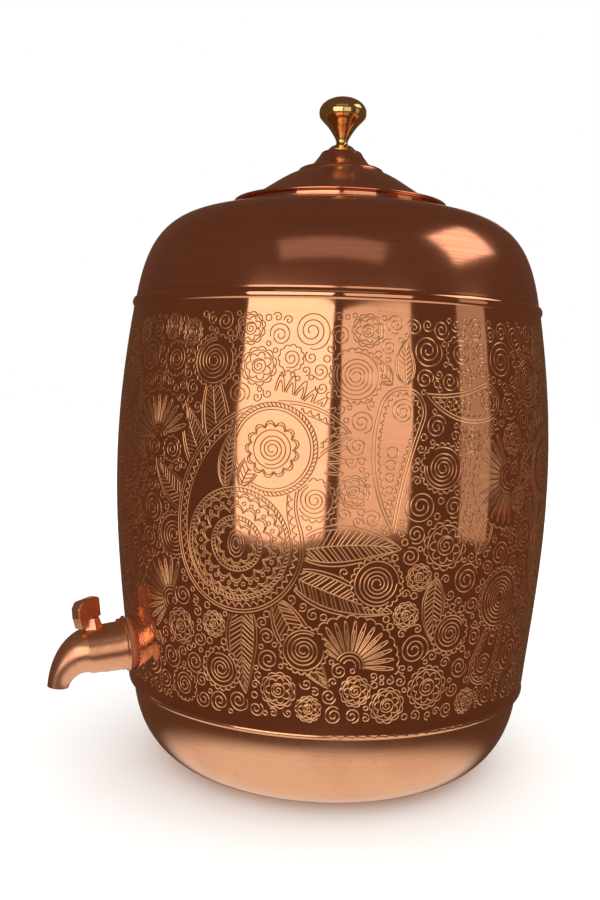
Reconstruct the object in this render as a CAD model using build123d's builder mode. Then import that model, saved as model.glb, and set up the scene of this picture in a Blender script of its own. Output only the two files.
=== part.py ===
"""Barrel-shaped copper water dispenser: vessel, lift-off lid with a knob, and a plug tap.

Millimetres, +Z up. The origin is the centre of the flat base, on the surface that the
vessel stands on. The tap points towards -X, a little round towards -Y.
"""

import os
from math import atan, cos, degrees, radians, sin

from build123d import *

os.makedirs("parts", exist_ok=True)

# ---------------------------------------------------------------- driving dimensions

sheet = 1.0  # copper sheet of every spun or rolled shell

# Barrel
belly_radius = 140.0  # widest outside radius
belly_above_seam = 132.1  # height of the widest place above the barrel's lower edge
barrel_height = 235.8  # lower edge to upper edge
barrel_taper = 8.69  # how far the wall has come in 100 mm above or below the belly
barrel_skew = 0.737  # how much faster it comes in above than below
barrel_ease = 1.031  # how much the ends straighten out

# Bowl
bowl_height = 51.3  # base to the lower bead
bowl_inset = 2.95  # step from the barrel's lower edge in to the bowl
bowl_turn = 40.6  # bowl radius less the radius of the flat base
bowl_lean = 2.0  # inward lean of the bowl's side below the bead
bowl_side = 32.1  # length over which the side stays steep
bowl_floor = 20.0  # length over which the floor stays flat
bowl_skirt = 7.0  # overlap inside the barrel

# Beads over the seams
lower_bead_height = 3.1
lower_bead_proud = 0.35
upper_bead_height = 6.0
upper_bead_proud = 0.85

# Shoulder
seam_gap = 0.5  # room for solder between the barrel and the shoulder's skirt
shoulder_skirt = 10.0  # overlap inside the barrel
dome_base = 1.0  # bead to the start of the curve
dome_height = 56.4
dome_lean = 6.5  # inward lean over the dome's steep part
dome_side = 37.6  # length of that steep part
dome_shelf = 19.4  # shoulder radius less the radius where the top flattens
dome_crown = 0.8  # last rise of the flattened top
neck_radius = 66.4  # outside of the short neck
neck_fillet = 2.6
neck_lip = 0.8  # straight part of the neck above its fillet

# Mouth ring
ring_inset = 0.5  # how far the ring stands in from the neck's bore
ring_step = 0.2  # step back from the neck's outside
ring_height = 2.8

# Lid
brim_radius = 69.0
brim_bead = 1.2  # radius of the rolled edge
lid_seat_gap = 0.1  # clearance between the mouth ring and the brim
lid_fit = 0.6  # radial clearance of the skirt in the mouth ring
skirt_depth = 11.9
flute_radius = 28.0  # foot of the first step
flute_rise = 19.6  # brim to the foot of the first step
cap_step = 2.7  # height of the first step
spire_radius = 13.4  # top edge of the second step
spire_rise = 9.8  # top of the first step to the top edge of the second
crown_rise = 1.4  # top edge of the second step to the flat that the knob stands on

# Knob and its fixing
knob_foot_radius = 10.5
knob_foot_height = 5.8
knob_neck_radius = 3.7
knob_head_radius = 15.3
knob_stem = 19.3  # neck to the widest place of the head
knob_crown = 9.8  # widest place to the top
knob_screw_radius = 1.7
knob_screw_depth = 8.0  # length inside the knob
washer_thickness = 1.2
screw_head_height = 2.6
knob_washer_radius = 7.0
knob_screw_head_radius = 3.8

# Tap: where it sits
tap_azimuth = 22.0  # degrees from -X towards -Y
tap_height = 79.0  # centre of the wall hole above the base

# Tap: stack at the wall
stub_radius = 10.45  # half-inch pipe thread, outside
stub_length = 16.0  # inside the vessel, from the wall's outer face
hole_clearance = 0.4
gasket_outer_radius = 15.9
gasket_thickness = 2.0
escutcheon_radius = 17.3
escutcheon_thickness = 1.6
collar_radius = 15.9
collar_thickness = 2.6
inner_gasket_radius = 14.5
inner_gasket_thickness = 3.0
inner_washer_radius = 15.5
inner_washer_thickness = 1.5
nut_across_flats = 27.0
nut_thickness = 7.0

# Tap: barrel and spout
barrel_root_radius = 15.1  # just in front of the collar
tap_barrel_radius = 14.5
tap_barrel_drop = 0.6  # how far the barrel hangs below the stub's axis
bend_start = 26.0  # from the wall's outer face
spout_reach = 20.1  # bend, along the tap's axis
spout_drop = 19.15  # bend, square to the tap's axis
spout_tip_radius = 6.45
spout_tip_droop = 78.0  # degrees below the tap's axis
bend_slope = 5.0  # degrees below the tap's axis where the bend starts
bend_handle = 10.0
tip_handle = 9.0
waterway_radius = 4.0
spout_bore_radius = 4.9

# Tap: plug, its seat and its fixing
plug_out = 21.7  # plug axis from the wall's outer face
plug_top_radius = 6.6
plug_bottom_radius = 5.9
plug_fit = 0.05  # radial running clearance
plug_head = 13.4  # top of the taper above the waterway's axis
plug_foot = 9.8  # depth of the plug's foot below the waterway's axis
head_clearance = 0.3
recess_radius = 7.3
plug_washer_radius = 7.0
plug_screw_radius = 1.6
plug_screw_head_radius = 3.2
plug_screw_head_height = 2.0
plug_screw_depth = 4.2

# Tap: neck and lever
lever_turn = 40.0  # degrees from the tap's axis at rest
neck_base = 6.5  # centre to corner of the six-sided neck at the plug
neck_top = 4.5
neck_height = 6.5
tenon_side = 4.4
tenon_height = 7.0
lever_reach = 13.8  # plug axis to the tip
lever_back = 5.2  # plug axis to the back
lever_height = 12.5
lever_slope_run = 3.1  # corner cut from the top towards the tip
lever_slope_drop = 3.7
lever_nose = 2.9  # where the tip's upright face ends
lever_hook = 4.0  # how far the tip hangs below the neck's top
hook_lean = 1.6
hook_width = 2.6
lever_arch = 1.0  # rise of the underside in front of the neck
lever_thickness = 6.7
lever_corner = 2.2
hook_corner = 1.0
lever_round = 0.9
lever_screw_radius = 1.2
lever_screw_head_radius = 2.1
lever_screw_head_height = 1.4
lever_screw_sunk = 0.5
socket_fit = 0.1

# ---------------------------------------------------------------- worked-out heights

seam_z = bowl_height + lower_bead_height
belly_z = seam_z + belly_above_seam
barrel_top = seam_z + barrel_height
dome_z = barrel_top + upper_bead_height + dome_base
dome_top = dome_z + dome_height
neck_z = dome_top + neck_fillet + neck_lip
ring_top = neck_z + ring_height
brim_under = ring_top + lid_seat_gap
brim_top = brim_under + sheet


def barrel_radius(z):
    """Outside radius of the barrel at height z."""
    u = (z - belly_z) / 100
    return belly_radius - barrel_taper * u**2 - barrel_skew * u**3 + barrel_ease * u**4


def show(piece, name):
    """Label a finished piece and write it to its own file."""
    piece.part.label = name
    export_step(piece.part, f"parts/{name}.step")
    print(name, round(piece.part.volume), "mm3")


# ---------------------------------------------------------------- barrel

barrel_stations = 9
station_heights = [
    seam_z + barrel_height * i / (barrel_stations - 1) for i in range(barrel_stations)
]


def barrel_body(inset):
    """Solid of revolution inside the barrel's outside, brought in by inset."""
    with BuildPart() as body:
        with BuildSketch(Plane.XZ):
            with BuildLine():
                Spline([(barrel_radius(z) - inset, z) for z in station_heights])
                Polyline(
                    (barrel_radius(barrel_top) - inset, barrel_top),
                    (0, barrel_top),
                    (0, seam_z),
                    (barrel_radius(seam_z) - inset, seam_z),
                )
            make_face()
        revolve(axis=Axis.Z)
    return body.part


barrel_outside = barrel_body(0)
barrel_inside = barrel_body(sheet)

# ---------------------------------------------------------------- the tap's own directions

wall_radius = barrel_radius(tap_height)
wall_slope = (barrel_radius(tap_height + 1) - barrel_radius(tap_height - 1)) / 2
tap_tilt = atan(wall_slope)
azimuth = radians(tap_azimuth)
level_out = Vector(-cos(azimuth), -sin(azimuth), 0)
tap_side = Vector(sin(azimuth), -cos(azimuth), 0)
tap_out = level_out * cos(tap_tilt) - Vector(0, 0, sin(tap_tilt))
tap_up = tap_out.cross(tap_side)
tap_root = level_out * wall_radius + Vector(0, 0, tap_height)


def tap_point(out, up=0.0):
    """Point in the tap's middle plane: out along its axis, up square to it."""
    return tap_root + tap_out * out + tap_up * up


def across(out, up=0.0, droop=0.0):
    """Plane square to the waterway where it points droop degrees below the axis."""
    normal = tap_out * cos(radians(droop)) - tap_up * sin(radians(droop))
    return Plane(origin=tap_point(out, up), x_dir=tap_side, z_dir=normal)


tap_hole_radius = stub_radius + hole_clearance

with BuildPart() as barrel:
    add(barrel_outside)
    add(barrel_inside, mode=Mode.SUBTRACT)
    with BuildSketch(across(-gasket_outer_radius / 2)):
        Circle(tap_hole_radius)
    extrude(amount=gasket_outer_radius, mode=Mode.SUBTRACT)
show(barrel, "barrel")

# ---------------------------------------------------------------- bowl

bowl_radius = barrel_radius(seam_z) - bowl_inset
flat_radius = bowl_radius - bowl_turn
bowl_rim = seam_z + bowl_skirt

with BuildPart() as bottom_bowl:
    with BuildSketch(Plane.XZ):
        with BuildLine():
            Polyline(
                (0, sheet),
                (0, 0),
                (flat_radius, 0),
            )
            Bezier(
                (flat_radius, 0),
                (flat_radius + bowl_floor, 0),
                (bowl_radius - bowl_lean, bowl_height - bowl_side),
                (bowl_radius, bowl_height),
            )
            Polyline(
                (bowl_radius, bowl_height),
                (bowl_radius, bowl_rim),
                (bowl_radius - sheet, bowl_rim),
                (bowl_radius - sheet, bowl_height),
            )
            Bezier(
                (bowl_radius - sheet, bowl_height),
                (bowl_radius - sheet - bowl_lean, bowl_height - bowl_side + sheet / 2),
                (flat_radius + bowl_floor - sheet / 2, sheet),
                (flat_radius, sheet),
            )
            Line((flat_radius, sheet), (0, sheet))
        make_face()
    revolve(axis=Axis.Z)
show(bottom_bowl, "bottom_bowl")

# ---------------------------------------------------------------- lower bead

lower_bead_radius = barrel_radius(seam_z) + lower_bead_proud

with BuildPart() as lower_bead:
    with BuildSketch(Plane.XZ):
        with BuildLine():
            Polyline(
                (lower_bead_radius - lower_bead_proud, seam_z),
                (bowl_radius, seam_z),
                (bowl_radius, bowl_height),
                (bowl_radius + bowl_inset / 3, bowl_height),
            )
            ThreePointArc(
                (bowl_radius + bowl_inset / 3, bowl_height),
                (lower_bead_radius, seam_z - lower_bead_height / 2),
                (lower_bead_radius - lower_bead_proud, seam_z),
            )
        make_face()
    revolve(axis=Axis.Z)
show(lower_bead, "lower_bead")

# ---------------------------------------------------------------- shoulder

shoulder_radius = barrel_radius(barrel_top) - sheet - seam_gap
shoulder_foot = barrel_top - shoulder_skirt
shelf_radius = shoulder_radius - dome_shelf
neck_foot = neck_radius + neck_fillet
neck_bore = neck_radius - sheet

with BuildPart() as shoulder:
    with BuildSketch(Plane.XZ):
        with BuildLine():
            Line((shoulder_radius, shoulder_foot), (shoulder_radius, dome_z))
            Bezier(
                (shoulder_radius, dome_z),
                (shoulder_radius - dome_lean, dome_z + dome_side),
                (shelf_radius, dome_top - dome_crown),
                (neck_foot, dome_top),
            )
            TangentArc(
                (neck_foot, dome_top),
                (neck_radius, dome_top + neck_fillet),
                tangent=(-1, 0),
            )
            Polyline(
                (neck_radius, dome_top + neck_fillet),
                (neck_radius, neck_z),
                (neck_bore, neck_z),
                (neck_bore, dome_top + neck_fillet),
            )
            TangentArc(
                (neck_bore, dome_top + neck_fillet),
                (neck_foot, dome_top - sheet),
                tangent=(0, -1),
            )
            Bezier(
                (neck_foot, dome_top - sheet),
                (shelf_radius - sheet / 2, dome_top - dome_crown - sheet),
                (shoulder_radius - dome_lean - sheet, dome_z + dome_side - sheet / 2),
                (shoulder_radius - sheet, dome_z),
            )
            Polyline(
                (shoulder_radius - sheet, dome_z),
                (shoulder_radius - sheet, shoulder_foot),
                (shoulder_radius, shoulder_foot),
            )
        make_face()
    revolve(axis=Axis.Z)
show(shoulder, "shoulder")

# ---------------------------------------------------------------- upper bead

bead_foot = barrel_radius(barrel_top)
bead_top = barrel_top + upper_bead_height

with BuildPart() as upper_bead:
    with BuildSketch(Plane.XZ):
        with BuildLine():
            Polyline(
                (bead_foot, barrel_top),
                (shoulder_radius, barrel_top),
                (shoulder_radius, bead_top),
                (shoulder_radius + seam_gap, bead_top),
            )
            ThreePointArc(
                (shoulder_radius + seam_gap, bead_top),
                (bead_foot + upper_bead_proud, barrel_top + upper_bead_height / 2),
                (bead_foot, barrel_top),
            )
        make_face()
    revolve(axis=Axis.Z)
show(upper_bead, "upper_bead")

# ---------------------------------------------------------------- mouth ring

ring_bore = neck_bore - ring_inset
ring_outside = neck_radius - ring_step
ring_round = 0.5

with BuildPart() as mouth_ring:
    with BuildSketch(Plane.XY.offset(neck_z)):
        Circle(ring_outside)
        Circle(ring_bore, mode=Mode.SUBTRACT)
    extrude(amount=ring_height)
    fillet(mouth_ring.edges().group_by(Axis.Z)[-1], radius=ring_round)
show(mouth_ring, "mouth_ring")

# ---------------------------------------------------------------- lid

lid_skirt_radius = ring_bore - lid_fit
bead_centre = brim_radius - brim_bead
brim_inside = lid_skirt_radius - sheet - 0.5
flute_z = brim_top + flute_rise
step_z = flute_z + cap_step
spire_z = step_z + spire_rise
lid_top = spire_z + crown_rise
knob_hole = knob_screw_radius + 0.3
flute_run = brim_inside - flute_radius


def cap_outline(inset, end):
    """Lid's curve from the flat brim up to the knob, as one run of edges."""
    rise = flute_rise / 20
    step_foot = flute_radius - inset * 0.6
    Spline(
        (brim_inside, brim_top - inset),
        (brim_inside - flute_run * 0.24 - inset * 0.5, brim_top + 4.1 * rise - inset * 0.8),
        (brim_inside - flute_run * 0.49 - inset * 0.6, brim_top + 10.1 * rise - inset * 0.8),
        (brim_inside - flute_run * 0.77 - inset * 0.5, brim_top + 16.3 * rise - inset * 0.8),
        (step_foot, flute_z - inset),
        tangents=[(-1, 0.1), (-1, 0.35)],
    )
    shelf_radius_top = flute_radius - 3.0 - inset * 0.6
    ThreePointArc(
        (step_foot, flute_z - inset),
        (step_foot - 0.7, flute_z + cap_step * 0.65 - inset * 0.8),
        (shelf_radius_top, step_z - inset),
    )
    Spline(
        (shelf_radius_top, step_z - inset),
        (spire_radius + 5.0 - inset * 0.8, step_z + spire_rise * 0.32 - inset * 0.7),
        (spire_radius + 2.8 - inset * 0.9, step_z + spire_rise * 0.59 - inset * 0.5),
        (spire_radius - inset * 0.9, spire_z - inset * 0.5),
        tangents=[(-1, 0.4), (-0.5, 1)],
    )
    ThreePointArc(
        (spire_radius - inset * 0.9, spire_z - inset * 0.5),
        (spire_radius - 0.8 - inset * 0.8, spire_z + crown_rise * 0.7 - inset * 0.8),
        (spire_radius - 2.2 - inset * 0.5, lid_top - inset),
    )
    Line((spire_radius - 2.2 - inset * 0.5, lid_top - inset), (end, lid_top - inset))


with BuildPart() as lid_cap:
    with BuildSketch(Plane.XZ):
        with BuildLine():
            cap_outline(0, knob_hole)
            Line((knob_hole, lid_top), (knob_hole, lid_top - sheet))
            cap_outline(sheet, knob_hole)
            Line((brim_inside, brim_under), (bead_centre - brim_bead, brim_under))
            Line(
                (bead_centre - brim_bead, brim_under),
                (bead_centre - brim_bead, brim_top - brim_bead),
            )
            ThreePointArc(
                (bead_centre - brim_bead, brim_top - brim_bead),
                (bead_centre, brim_top - 2 * brim_bead),
                (brim_radius, brim_top - brim_bead),
            )
            TangentArc(
                (brim_radius, brim_top - brim_bead),
                (bead_centre, brim_top),
                tangent=(0, 1),
            )
            Line((bead_centre, brim_top), (brim_inside, brim_top))
        make_face()
    revolve(axis=Axis.Z)
show(lid_cap, "lid_cap")

with BuildPart() as lid_skirt:
    with BuildSketch(Plane.XY.offset(brim_under - skirt_depth)):
        Circle(lid_skirt_radius)
        Circle(lid_skirt_radius - sheet, mode=Mode.SUBTRACT)
    extrude(amount=skirt_depth)
show(lid_skirt, "lid_skirt")

# ---------------------------------------------------------------- knob and its fixing

neck_height_z = lid_top + knob_foot_height
head_z = neck_height_z + knob_stem
head_swell = knob_head_radius - knob_neck_radius
quarter = 0.5523  # handle length of a Bezier quarter circle of radius 1

with BuildPart() as lid_knob:
    with BuildSketch(Plane.XZ):
        with BuildLine():
            Polyline(
                (0, lid_top),
                (knob_foot_radius, lid_top),
                (knob_foot_radius, lid_top + 0.5),
            )
            Spline(
                (knob_foot_radius, lid_top + 0.5),
                (knob_foot_radius - 3.9, lid_top + knob_foot_height * 0.6),
                (knob_neck_radius, neck_height_z),
                tangents=[(-1, 0.3), (-0.1, 1)],
            )
            Spline(
                (knob_neck_radius, neck_height_z),
                (knob_neck_radius + head_swell * 0.2, neck_height_z + knob_stem * 0.28),
                (knob_neck_radius + head_swell * 0.52, neck_height_z + knob_stem * 0.55),
                (knob_neck_radius + head_swell * 0.92, neck_height_z + knob_stem * 0.81),
                (knob_head_radius, head_z),
                tangents=[(0.1, 1), (0, 1)],
            )
            Bezier(
                (knob_head_radius, head_z),
                (knob_head_radius, head_z + quarter * knob_crown),
                (quarter * knob_head_radius, head_z + knob_crown),
                (0, head_z + knob_crown),
            )
            Line((0, head_z + knob_crown), (0, lid_top))
        make_face()
    revolve(axis=Axis.Z)
    with BuildSketch(Plane.XY.offset(lid_top)):
        Circle(knob_screw_radius + 0.1)
    extrude(amount=knob_screw_depth + 1, mode=Mode.SUBTRACT)
show(lid_knob, "lid_knob")

lid_ceiling = lid_top - sheet

with BuildPart() as knob_washer:
    with BuildSketch(Plane.XY.offset(lid_ceiling)):
        Circle(knob_washer_radius)
        Circle(knob_hole, mode=Mode.SUBTRACT)
    extrude(amount=-washer_thickness)
show(knob_washer, "knob_washer")

screw_seat = lid_ceiling - washer_thickness

with BuildPart() as knob_screw:
    with BuildSketch(Plane.XY.offset(screw_seat)):
        Circle(knob_screw_head_radius)
    extrude(amount=-screw_head_height)
    fillet(knob_screw.edges().group_by(Axis.Z)[0], radius=screw_head_height / 3)
    with BuildSketch(Plane.XY.offset(screw_seat)):
        Circle(knob_screw_radius)
    extrude(amount=washer_thickness + sheet + knob_screw_depth)
    with BuildSketch(Plane.XY.offset(screw_seat - screw_head_height)):
        Rectangle(2 * knob_screw_head_radius, 1.0)
    extrude(amount=screw_head_height / 2, mode=Mode.SUBTRACT)
show(knob_screw, "knob_screw")

# ---------------------------------------------------------------- seals and nut at the wall


def wall_ring(start, end, outside, inside):
    """Flat ring round the stub, between two distances from the wall's outer face."""
    with BuildPart() as ring:
        with BuildSketch(across(start)):
            Circle(outside)
            Circle(inside, mode=Mode.SUBTRACT)
        extrude(amount=end - start)
    return ring.part


ring_hole = stub_radius + 0.2
inner_seal_end = -sheet - inner_gasket_thickness
inner_washer_end = inner_seal_end - inner_washer_thickness
nut_end = inner_washer_end - nut_thickness
escutcheon_out = gasket_thickness + escutcheon_thickness
collar_out = escutcheon_out + collar_thickness

with BuildPart() as outer_gasket:
    add(wall_ring(-gasket_thickness, gasket_thickness, gasket_outer_radius, ring_hole))
    add(barrel_outside, mode=Mode.SUBTRACT)
show(outer_gasket, "outer_gasket")

with BuildPart() as inner_gasket:
    add(wall_ring(inner_seal_end, 0, inner_gasket_radius, ring_hole))
    add(barrel_inside, mode=Mode.INTERSECT)
show(inner_gasket, "inner_gasket")

with BuildPart() as inner_washer:
    add(wall_ring(inner_washer_end, inner_seal_end, inner_washer_radius, ring_hole))
show(inner_washer, "inner_washer")

with BuildPart() as tap_backnut:
    with BuildSketch(across(nut_end)):
        RegularPolygon(nut_across_flats / 2, 6, major_radius=False)
        Circle(stub_radius + 0.1, mode=Mode.SUBTRACT)
    extrude(amount=nut_thickness)
show(tap_backnut, "tap_backnut")

with BuildPart() as tap_escutcheon:
    add(wall_ring(gasket_thickness, escutcheon_out, escutcheon_radius, ring_hole))
    rim = tap_escutcheon.edges().filter_by(GeomType.CIRCLE)
    rim = rim.filter_by(lambda edge: edge.radius > collar_radius)
    chamfer(rim.sort_by(Axis(tap_root, tap_out))[-1], length=escutcheon_thickness / 2)
show(tap_escutcheon, "tap_escutcheon")

# ---------------------------------------------------------------- tap body

middle_plane = Plane(origin=tap_root, x_dir=tap_out, z_dir=tap_out.cross(tap_up))
plug_plane = Plane(origin=tap_point(plug_out), x_dir=tap_side, z_dir=tap_up)
droop = radians(spout_tip_droop)
slope = radians(bend_slope)
tip_out = bend_start + spout_reach
tip_up = -tap_barrel_drop - spout_drop

with BuildLine(middle_plane) as bend:
    Bezier(
        (bend_start, -tap_barrel_drop),
        (bend_start + bend_handle, -tap_barrel_drop - bend_handle * sin(slope)),
        (tip_out - tip_handle * cos(droop), tip_up + tip_handle * sin(droop)),
        (tip_out, tip_up),
    )


def bend_radius(share):
    """Outside radius of the spout at a share of the way along its bend."""
    return spout_tip_radius + (tap_barrel_radius - spout_tip_radius) * (1 - share**1.2) ** 1.6


bend_steps = 6
bend_shares = [i / bend_steps for i in range(bend_steps + 1)]

with BuildPart() as tap_body:
    with BuildSketch(across(-stub_length)):
        Circle(stub_radius)
    extrude(amount=stub_length + escutcheon_out)
    with BuildSketch(across(escutcheon_out)):
        Circle(collar_radius)
    extrude(amount=collar_thickness)
    with BuildSketch(across(collar_out, -tap_barrel_drop)):
        Circle(barrel_root_radius)
    with BuildSketch(bend.line ^ 0):
        Circle(tap_barrel_radius)
    loft()
    for share in bend_shares:
        with BuildSketch(bend.line ^ share):
            Circle(bend_radius(share))
    loft()
    # Waterway: straight through the stub and barrel, then round the bend.
    with BuildSketch(across(-stub_length)):
        Circle(waterway_radius)
    extrude(amount=stub_length + bend_start, mode=Mode.SUBTRACT)
    for share in bend_shares:
        with BuildSketch(bend.line ^ share):
            Circle(waterway_radius + (spout_bore_radius - waterway_radius) * share)
    loft(mode=Mode.SUBTRACT)
    # Taper for the plug, open at the top, and the recess for its washer and screw.
    with BuildSketch(plug_plane.offset(plug_head)):
        Circle(plug_top_radius + plug_fit)
    with BuildSketch(plug_plane.offset(-plug_foot)):
        Circle(plug_bottom_radius + plug_fit)
    loft(mode=Mode.SUBTRACT)
    with BuildSketch(plug_plane.offset(plug_head)):
        Circle(plug_top_radius + head_clearance)
    extrude(amount=tap_barrel_radius, mode=Mode.SUBTRACT)
    with BuildSketch(plug_plane.offset(plug_fit - plug_foot)):
        Circle(recess_radius)
    extrude(amount=-tap_barrel_radius, mode=Mode.SUBTRACT)
show(tap_body, "tap_body")

# ---------------------------------------------------------------- plug

turn = radians(lever_turn)
lever_along = tap_out * cos(turn) + tap_side * sin(turn)
lever_face = lever_along.cross(tap_up)
lever_plane = Plane(origin=tap_point(plug_out), x_dir=lever_along, z_dir=tap_up)
neck_end = plug_head + neck_height
tenon_end = neck_end + tenon_height
lever_hole_radius = lever_screw_radius + 0.15

with BuildPart() as tap_plug:
    with BuildSketch(lever_plane.offset(-plug_foot)):
        Circle(plug_bottom_radius)
    with BuildSketch(lever_plane.offset(plug_head)):
        Circle(plug_top_radius)
    loft()
    with BuildSketch(lever_plane.offset(plug_head)):
        RegularPolygon(neck_base, 6)
    with BuildSketch(lever_plane.offset(neck_end)):
        RegularPolygon(neck_top, 6)
    loft()
    with BuildSketch(lever_plane.offset(neck_end)):
        Rectangle(tenon_side, tenon_side)
    extrude(amount=tenon_height)
    port_start = tap_point(plug_out) - lever_along * plug_top_radius
    with BuildSketch(Plane(origin=port_start, x_dir=tap_up, z_dir=lever_along)):
        Circle(waterway_radius)
    extrude(amount=2 * plug_top_radius, mode=Mode.SUBTRACT)
    with BuildSketch(lever_plane.offset(tenon_end)):
        Circle(lever_hole_radius)
    extrude(amount=-tenon_height, mode=Mode.SUBTRACT)
    with BuildSketch(lever_plane.offset(-plug_foot)):
        Circle(plug_screw_radius + 0.1)
    extrude(amount=plug_screw_depth + 0.4, mode=Mode.SUBTRACT)
show(tap_plug, "tap_plug")

with BuildPart() as plug_washer:
    with BuildSketch(lever_plane.offset(-plug_foot)):
        Circle(plug_washer_radius)
        Circle(plug_screw_radius + 0.2, mode=Mode.SUBTRACT)
    extrude(amount=-washer_thickness)
show(plug_washer, "plug_washer")

plug_screw_seat = plug_foot + washer_thickness

with BuildPart() as plug_screw:
    with BuildSketch(lever_plane.offset(-plug_screw_seat)):
        Circle(plug_screw_head_radius)
    extrude(amount=-plug_screw_head_height)
    with BuildSketch(lever_plane.offset(-plug_screw_seat)):
        Circle(plug_screw_radius)
    extrude(amount=washer_thickness + plug_screw_depth)
    with BuildSketch(lever_plane.offset(-plug_screw_seat - plug_screw_head_height)):
        Rectangle(2 * plug_screw_head_radius, 0.9)
    extrude(amount=plug_screw_head_height / 2, mode=Mode.SUBTRACT)
show(plug_screw, "plug_screw")

# ---------------------------------------------------------------- lever

lever_top = neck_end + lever_height
screw_top = lever_top - lever_screw_sunk
socket_side = tenon_side + 2 * socket_fit
side_plane = Plane(
    origin=tap_point(plug_out, neck_end), x_dir=lever_along, z_dir=lever_face
)

with BuildPart() as tap_lever:
    with BuildSketch(side_plane.offset(-lever_thickness / 2)):
        with BuildLine():
            Polyline(
                (-lever_back, 0),
                (-lever_back, lever_height),
                (lever_reach - lever_slope_run, lever_height),
                (lever_reach, lever_height - lever_slope_drop),
                (lever_reach, lever_nose),
                (lever_reach - hook_lean, -lever_hook),
                (lever_reach - hook_lean - hook_width, -lever_hook),
                (neck_top + 2.7, lever_arch),
                (neck_top + 0.3, 0),
                (-lever_back, 0),
            )
        outline = make_face()
        corners = outline.vertices().group_by(Axis.Y)
        fillet(corners[-1] + corners[-2] + corners[-3], radius=lever_corner)
        fillet(corners[0], radius=hook_corner)
    extrude(amount=lever_thickness)
    broad_faces = tap_lever.faces().filter_by(Axis((0, 0, 0), lever_face))
    fillet(broad_faces.edges(), radius=lever_round)
    with BuildSketch(lever_plane.offset(neck_end)):
        Rectangle(socket_side, socket_side)
    extrude(amount=tenon_height + socket_fit, mode=Mode.SUBTRACT)
    with BuildSketch(lever_plane.offset(neck_end)):
        Circle(lever_hole_radius)
    extrude(amount=lever_height, mode=Mode.SUBTRACT)
    with BuildSketch(lever_plane.offset(screw_top - lever_screw_head_height)):
        Circle(lever_screw_head_radius + socket_fit)
    extrude(amount=lever_height, mode=Mode.SUBTRACT)
show(tap_lever, "tap_lever")

with BuildPart() as lever_screw:
    with BuildSketch(lever_plane.offset(screw_top - lever_screw_head_height)):
        Circle(lever_screw_head_radius)
    extrude(amount=lever_screw_head_height)
    with BuildSketch(lever_plane.offset(neck_end + 1)):
        Circle(lever_screw_radius)
    extrude(amount=screw_top - lever_screw_head_height - neck_end - 1)
    with BuildSketch(lever_plane.offset(screw_top)):
        Rectangle(2 * lever_screw_head_radius, 0.7)
    extrude(amount=-lever_screw_head_height / 2, mode=Mode.SUBTRACT)
show(lever_screw, "lever_screw")

print("overall height", round(head_z + knob_crown, 2))
print("tap centre", tap_root, "tilt", round(degrees(tap_tilt), 2))
print("plug axis through", tap_point(plug_out), "along", tap_up)
print("spout tip", bend.line @ 1, "pointing", bend.line % 1)
print("mouth", round(ring_bore, 2), "neck top", neck_z, "ring top", ring_top)
print("brim top", brim_top, "lid top", lid_top)
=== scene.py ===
# %% [markdown]
# # A barrel-shaped copper water dispenser
#
# The real one is a household vessel: an engraved copper barrel between a spun dome and a spun bowl, with a
# lid that lifts off by a turned brass knob and a plug tap low on one side. The solid model is already
# made, with every piece in its place, and it loads here as a fixed frame. What is left is what a solid
# model can't carry: the engraving, the finish of each metal, the light and the camera.

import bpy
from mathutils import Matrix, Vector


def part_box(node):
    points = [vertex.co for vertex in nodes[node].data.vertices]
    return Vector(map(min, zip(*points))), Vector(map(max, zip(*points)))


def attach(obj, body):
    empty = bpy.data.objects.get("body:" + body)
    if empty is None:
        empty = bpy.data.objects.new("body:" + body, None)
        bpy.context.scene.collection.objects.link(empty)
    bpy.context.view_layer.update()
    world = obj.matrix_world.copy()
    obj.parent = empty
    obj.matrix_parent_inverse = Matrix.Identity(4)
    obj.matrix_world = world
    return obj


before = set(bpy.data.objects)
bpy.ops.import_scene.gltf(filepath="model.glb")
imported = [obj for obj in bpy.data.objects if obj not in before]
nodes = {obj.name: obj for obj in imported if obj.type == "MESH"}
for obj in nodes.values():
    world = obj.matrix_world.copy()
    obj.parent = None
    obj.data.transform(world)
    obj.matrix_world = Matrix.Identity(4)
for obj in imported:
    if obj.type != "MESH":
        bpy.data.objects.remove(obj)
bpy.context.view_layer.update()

# %% Libraries and units
import math
import random

import bpy
import numpy as np
from mathutils import Matrix, Vector

MM = 0.001  # the drawing is in millimetres, the scene in metres
scene = bpy.context.scene

# %% [markdown]
# ## Measuring the barrel
#
# The engraving has to lie on the barrel, so its radius is needed at every height. The barrel in the frame
# is a mesh, and its outer points hold that radius: the ones that face away from the axis, on the side that
# has no tap hole. A polynomial through them gives one short formula that both this script and the node tree
# further down can use.

# %% Fit the barrel's outline
barrel_points = np.array([v.co for v in nodes["barrel"].data.vertices]) / MM
facing = np.array([v.normal for v in nodes["barrel"].data.vertices])
barrel_foot, barrel_head = barrel_points[:, 2].min(), barrel_points[:, 2].max()
point_radius = np.hypot(barrel_points[:, 0], barrel_points[:, 1])
belly_radius = point_radius.max()
barrel_middle = (barrel_foot + barrel_head) / 2
outward = (facing * barrel_points * (1, 1, 0)).sum(1) / point_radius
outermost = np.flatnonzero((outward > 0.9) & (barrel_points[:, 0] > 0))
outline_height = (barrel_points[outermost, 2] - barrel_middle) / 100
outline_fit = np.polyfit(outline_height, point_radius[outermost], 4)


def barrel_radius(z):
    """Outside radius of the barrel at height z, both in millimetres."""
    return np.polyval(outline_fit, (np.asarray(z) - barrel_middle) / 100)


print("belly", round(belly_radius, 2), "foot", barrel_foot, "head", barrel_head)
print(
    "largest miss of the fit",
    abs(barrel_radius(barrel_points[outermost, 2]) - point_radius[outermost]).max()
)

# %% [markdown]
# ## Helpers for node trees
#
# Shader and geometry trees are built from the same small steps: add a node, set its values, link its
# inputs. One helper does all of it, so the cells below read like a recipe.


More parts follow.
